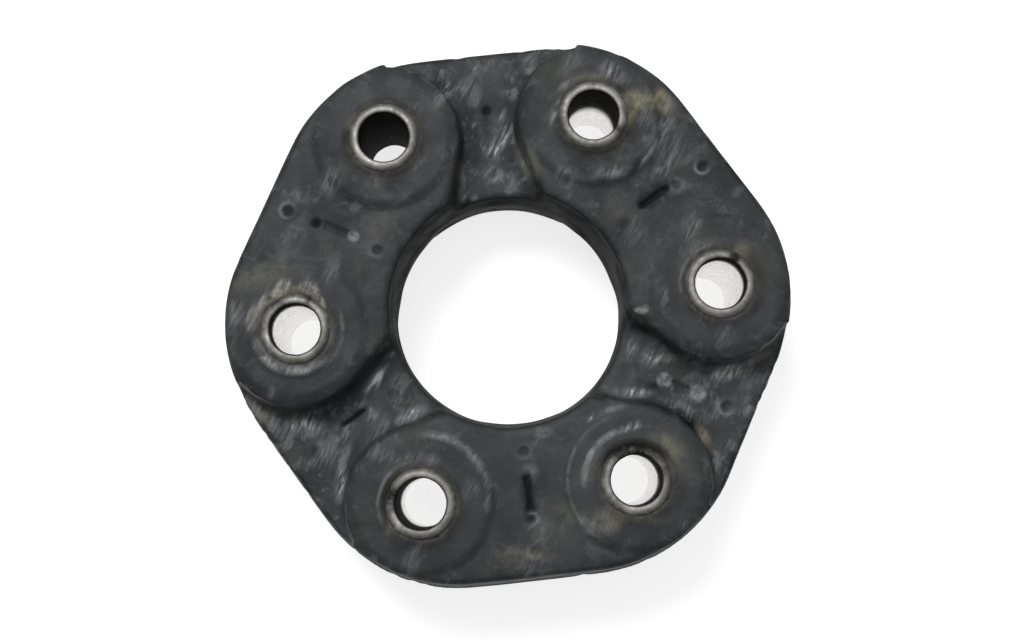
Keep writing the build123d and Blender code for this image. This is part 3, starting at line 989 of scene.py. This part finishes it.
def rubber_finish():
    finish = Finish("worn_rubber")
    rubbed = finish["rubbed"]
    hollow = finish["hollow"]
    recessed = finish["recessed"]
    steep = finish["steep"]
    front = finish.front()
    rubber_clouds(finish)
    # soft black patches: dirt, and painted shade where shadow falls
    shade_and_dirt_break = finish.between(finish.noise(4.5, 4, 0.6, 0.4), 0.30, 0.55, 0.5, 1.0)
    painted_shade_and_dirt = finish.times(finish["shade_and_dirt"], shade_and_dirt_break)
    finish.coat((0.0045, 0.0052, 0.0056), painted_shade_and_dirt)

    # pale strokes, all drawn the same way: broad soft ones and fine ones in them
    broad_place = finish.mapped(turn=(0, 0, 58), scale=(6.5, 1.5, 6.5))
    broad = finish.clouds(1, 0.42, 0.60, 3, 0.55, 0.4, broad_place)
    fine_place = finish.mapped(turn=(0, 0, 61), scale=(4.5, 0.60, 4.5))
    fine = finish.clouds(1, 0.44, 0.60, 3, 0.6, 0.3, fine_place)
    stroke = finish.math("ADD", finish.times(broad, 0.55), finish.times(fine, 0.55))
    stray = finish.times(finish.clouds(10, 0.56, 0.70, 4, 0.6), 0.35)
    scuffed = finish["scuffed"]
    cluster_place = finish.mapped(place=(35, 80, 0), scale=(6, 6, 6))
    clusters = finish.clouds(6, 0.50, 0.64, 4, 0.6, 0.3, cluster_place)
    stray = finish.math("MAXIMUM", stray, finish.times(recessed, clusters, 0.5))
    scuffs = finish.times(stroke, finish.math("MAXIMUM", scuffed, stray))
    finish.coat((0.098, 0.104, 0.114), scuffed, finish.at_least(0.35, broad), 0.55)
    finish.coat((0.230, 0.238, 0.255), scuffs)
    finish.coat((0.480, 0.495, 0.520), finish.between(scuffs, 0.50, 1.0), 0.75)

    # painted shade: steep walls darkened, most in the centre bore, with streaks along it, and near black
    # just under its front rim
    streak_place = finish.mapped(scale=(14, 14, 0.8))
    streaks = finish.clouds(1, 0.40, 0.66, 4, 0.6, 0.1, streak_place)
    wall_shade_and_streaks = finish.mixed(streaks, (0.016, 0.017, 0.017), (0.060, 0.062, 0.059))
    finish.coat(wall_shade_and_streaks, steep, 0.85)
    finish.coat((0.009, 0.0095, 0.010), finish["shade_under_rim"], 0.80)

    # dust on the recess floors and along inner corners, rims rubbed pale
    dust = finish.clouds(5, 0.44, 0.70, 6, 0.65, 0.5)
    dusty = finish.math("ADD", finish.times(recessed, 0.20), finish.times(hollow, 0.20))
    finish.coat((0.088, 0.088, 0.082), dust, dusty)
    rim_break = finish.clouds(3.5, 0.50, 0.70, 5, 0.6)
    finish.coat((0.120, 0.125, 0.127), rubbed, rim_break, 0.22)

    # dirt: olive and ochre films and a halo round each sleeve; painted shade in arcs close round some
    # sleeves
    breakup = finish.clouds(3.4, 0.28, 0.56, 6, 0.62, 0.4)
    finish.coat((0.098, 0.100, 0.078), finish["olive"], breakup)
    thin = finish.times(finish.at_least(0.3, breakup), finish.at_least(0.65, fine))
    finish.coat((0.232, 0.211, 0.146), finish["ochre"], thin)
    halo_break = finish.at_least(0.35, finish.clouds(3.0, 0.42, 0.60, 5, 0.6, 0.5))
    finish.coat((0.088, 0.083, 0.068), finish["halo"], halo_break, 0.75)
    # painted shade round some sleeves
    finish.coat((0.014, 0.014, 0.013), finish.arcs(SHADE_ARCS), front)

    # clumps of dirt and dirt pressed into marks, then the rubbed lips
    clumps = finish.clouds(2.6, 0.36, 0.60, 5, 0.60, 0.3)
    clumped = finish.times(clumps, finish.at_least(0.55, fine))
    solid = finish.at_least(0.30, finish.clouds(1.5, 0.36, 0.60, 4, 0.6, 0.2))
    deposits = [(*patch, clumped, (0.270, 0.262, 0.230)) for patch in CLUMPS]
    deposits += [(*patch, solid, (0.200, 0.224, 0.222)) for patch in PRESSED]
    spots = []
    for place, turn, radii, strength, thickness, matter in deposits:
        spots.append(finish.spot(place, turn, radii, 0.55))
        finish.coat(matter, spots[-1], thickness, front, strength)
    lips = finish.times(finish.arcs(RUBBED_LIPS), breakup, front, finish.at_least(0.40, stroke))
    finish.coat((0.270, 0.280, 0.282), lips)

    # black grease and painted shade in the marks; pale rims round the pits, rubbed and with painted
    # highlights on one side
    free = finish.without(finish.times(finish.gathered(spots), front, 0.9))
    grease_and_shade = finish.times(finish["grease_and_shade"], free)
    finish.coat((0.007, 0.007, 0.008), grease_and_shade, 0.85)
    # pale pit rims: wear, and painted highlights on one side
    finish.coat((0.200, 0.208, 0.212), finish["pit_rim_wear_and_highlight"], 0.8)
    finish.wear("Base Color", finish.colour)

    dull = finish.between(finish.noise(6, 4), 0.3, 0.7, 0.55, 0.72)
    finish.wear("Roughness", finish.math("ADD", dull, finish.times(scuffs, 0.12)))
    less_specular = finish.gathered([finish.times(steep, 0.80), finish.times(rubbed, 0.85), painted_shade_and_dirt, grease_and_shade])
    finish.wear("Specular IOR Level", finish.between(less_specular, 0, 1, 0.30, 0.02))

    grain = finish.bump(finish.noise(0.7, 5, 0.7), 0.12, 0.6)
    worn = finish.bump(finish.noise(4.0, 7, 0.62, 0.3), 0.6, 0.45, grain)
    finish.wear("Normal", finish.bump(scuffs, -0.08, 0.7, worn))
    return finish.material


# ---- steel sleeves: dull, rubbed ends with a trace of rust, painted shade and highlights on the ends; bores painted dark from the front as painted shade ----
def sleeve_finish():
    finish = Finish("worn_steel")
    bore = finish["bore"]
    bore_shade = finish["bore_shade"]
    skirt = finish["skirt"]
    tone = finish.clouds(3.5, 0.28, 0.72, 6, 0.6, 0.4)
    finish.colour = finish.mixed(tone, (0.125, 0.124, 0.114), (0.260, 0.258, 0.243))
    streak = finish.clouds(2.2, 0.36, 0.60, 5, 0.6, 0.8)
    # rubbed bright stretches of the ends, with painted highlights
    finish.coat((0.420, 0.410, 0.385), finish["shine_and_highlight"], finish.at_least(0.4, streak))
    stain = finish.clouds(5.0, 0.50, 0.68, 6, 0.62, 0.6)
    finish.coat((0.105, 0.095, 0.066), stain, 0.65)
    rust = finish.clouds(2.2, 0.60, 0.72, 5, 0.7, 0.5)
    finish.coat((0.110, 0.060, 0.034), rust, 0.4)
    cover = finish.clouds(2.6, 0.40, 0.58, 5, 0.62, 0.5)
    finish.coat((0.082, 0.078, 0.066), skirt, finish.at_least(0.45, cover), 0.9)
    # black stains on the ends, with painted shade
    stain_and_shade = finish.times(finish["stain"], finish.at_least(0.6, streak))
    stain_and_shade = finish.between(stain_and_shade, 0.05, 0.80)
    finish.coat((0.011, 0.011, 0.010), stain_and_shade)
    # painted shade inside the bores, reaching in from the front; bright bare steel beyond it
    bore_shade_clouds = finish.clouds(3, 0.3, 0.7, 5, 0.6)
    bore_shade_colour = finish.mixed(bore_shade_clouds, (0.002, 0.002, 0.002), (0.009, 0.008, 0.006))
    inner = finish.mixed(bore_shade, (0.90, 0.89, 0.87), bore_shade_colour)
    finish.coat(inner, bore)
    finish.wear("Base Color", finish.colour)
    shaded_bore = finish.times(bore, bore_shade)
    bright_bore = finish.times(bore, finish.without(bore_shade))
    face_metal = finish.times(finish.without(finish.math("MAXIMUM", bore, stain_and_shade)), 0.30)
    finish.wear("Metallic", finish.math("ADD", face_metal, bright_bore))
    rough = finish.between(finish.noise(1.5, 5), 0.3, 0.7, 0.42, 0.58)
    rough = finish.math("ADD", rough, finish.times(shaded_bore, 0.3))
    finish.wear("Roughness", finish.math("SUBTRACT", rough, finish.times(bright_bore, 0.2)))
    dark = finish.gathered([shaded_bore, stain_and_shade])
    finish.wear("Specular IOR Level", finish.between(dark, 0, 1, 0.5, 0.12))
    finish.wear("Normal", finish.bump(finish.noise(0.9, 6, 0.7), 0.14, 0.5))
    return finish.material


# ---- pieces inside the rubber ----
def hidden_steel_finish():
    """Collars and separator rings: phosphated steel with a film of bonding agent."""
    finish = Finish("phosphated_steel")
    tone = finish.clouds(3, 0.3, 0.7, 6, 0.6, 0.4)
    finish.colour = finish.mixed(tone, (0.11, 0.11, 0.105), (0.20, 0.195, 0.18))
    finish.coat((0.05, 0.04, 0.035), finish.clouds(6, 0.5, 0.7), 0.6)
    finish.wear("Base Color", finish.colour)
    finish.wear("Metallic", 0.7)
    finish.wear("Roughness", finish.between(tone, 0, 1, 0.45, 0.62))
    finish.wear("Normal", finish.bump(finish.noise(0.5, 4, 0.6), 0.05, 0.5))
    return finish.material


def cord_finish():
    """Wound polyester cord: turns lying side by side, with painted shade in the grooves between them,
    stained by the rubber.
    """
    finish = Finish("wound_cord")
    wander = finish.times(finish.noise(9, 2), 0.0012)
    wound = finish.math("ADD", finish.part(finish.place, "Z"), wander)
    ridge = finish.between(finish.math("SINE", finish.times(wound, 2 * pi / (CORD_WIDTH * MM))), -1, 1)
    stain = finish.clouds(4, 0.4, 0.7, 5, 0.6)
    # crests of the turns pale, grooves between them dark: painted shade
    finish.colour = finish.mixed(ridge, (0.36, 0.31, 0.22), (0.66, 0.61, 0.48))
    finish.coat((0.08, 0.07, 0.06), stain, 0.55)
    finish.wear("Base Color", finish.colour)
    finish.wear("Roughness", finish.between(stain, 0, 1, 0.85, 0.6))
    fibre = finish.bump(finish.noise(0.25, 4, 0.7), 0.05, 0.4)
    finish.wear("Normal", finish.bump(ridge, 0.3, 0.8, fibre))
    return finish.material


def wear_material(piece, material):
    piece.data.materials.clear()
    piece.data.materials.append(material)


def assign_to_node(name, material):
    """CAD nodes keep their mesh: only the material in their slots changes."""
    for entry in nodes[name].material_slots:
        entry.material = material


# ---- pieces ----
body = make_body()
wear_material(body, rubber_finish())
steel = sleeve_finish()
for number in range(SLEEVE_COUNT):
    wear_material(make_sleeve(number), steel)
hidden_steel = hidden_steel_finish()
for name in separator_names + collar_names:
    assign_to_node(name, hidden_steel)
cord = cord_finish()
for name in loop_names:
    assign_to_node(name, cord)

# ---- floor ----
floor_shape = bmesh.new()
bmesh.ops.create_grid(floor_shape, x_segments=1, y_segments=1, size=FLOOR_HALF)
bmesh.ops.translate(floor_shape, verts=floor_shape.verts, vec=(0, 0, -(SLEEVE_END + FLOOR_GAP) * MM))
floor_mesh = bpy.data.meshes.new("sheet")
floor_shape.to_mesh(floor_mesh)
floor_shape.free()
floor = new_object("sheet", floor_mesh)
paper = Finish("white_sheet")
paper.wear("Roughness", 0.9)
paper.wear("Base Color", (0.42, 0.42, 0.42))
paper.wear("Emission Color", (1, 1, 1))
rays = paper.tree.nodes.new("ShaderNodeLightPath")
seen = paper.gathered([rays.outputs[f"Is {kind} Ray"] for kind in ("Camera", "Glossy", "Transmission")])
paper.wear("Emission Strength", paper.times(seen, FLOOR_GLOW))
wear_material(floor, paper.material)

# ---- light ----
world = bpy.data.worlds.new("studio")
bpy.context.scene.world = world
world.use_nodes = True
background = world.node_tree.nodes["Background"]
background.inputs["Color"].default_value = (1, 1, 1, 1)
background.inputs["Strength"].default_value = SKY_STRENGTH
for name, place, size, power in SOFTBOXES:
    lamp = bpy.data.lights.new(name, "AREA")
    lamp.size = size
    lamp.energy = power
    holder = new_object(name, lamp, place)
    holder.rotation_euler = Vector(place).to_track_quat("Z", "Y").to_euler()

# ---- camera ----
camera = bpy.data.cameras.new("camera")
camera.lens = CAMERA_LENS
camera.clip_start = 0.01
holder = new_object("camera", camera, Vector(CAMERA_PLACE) * MM)
holder.rotation_euler = Euler([radians(angle) for angle in CAMERA_TURN])
bpy.context.scene.camera = holder
bpy.context.scene.view_settings.view_transform = "Standard"
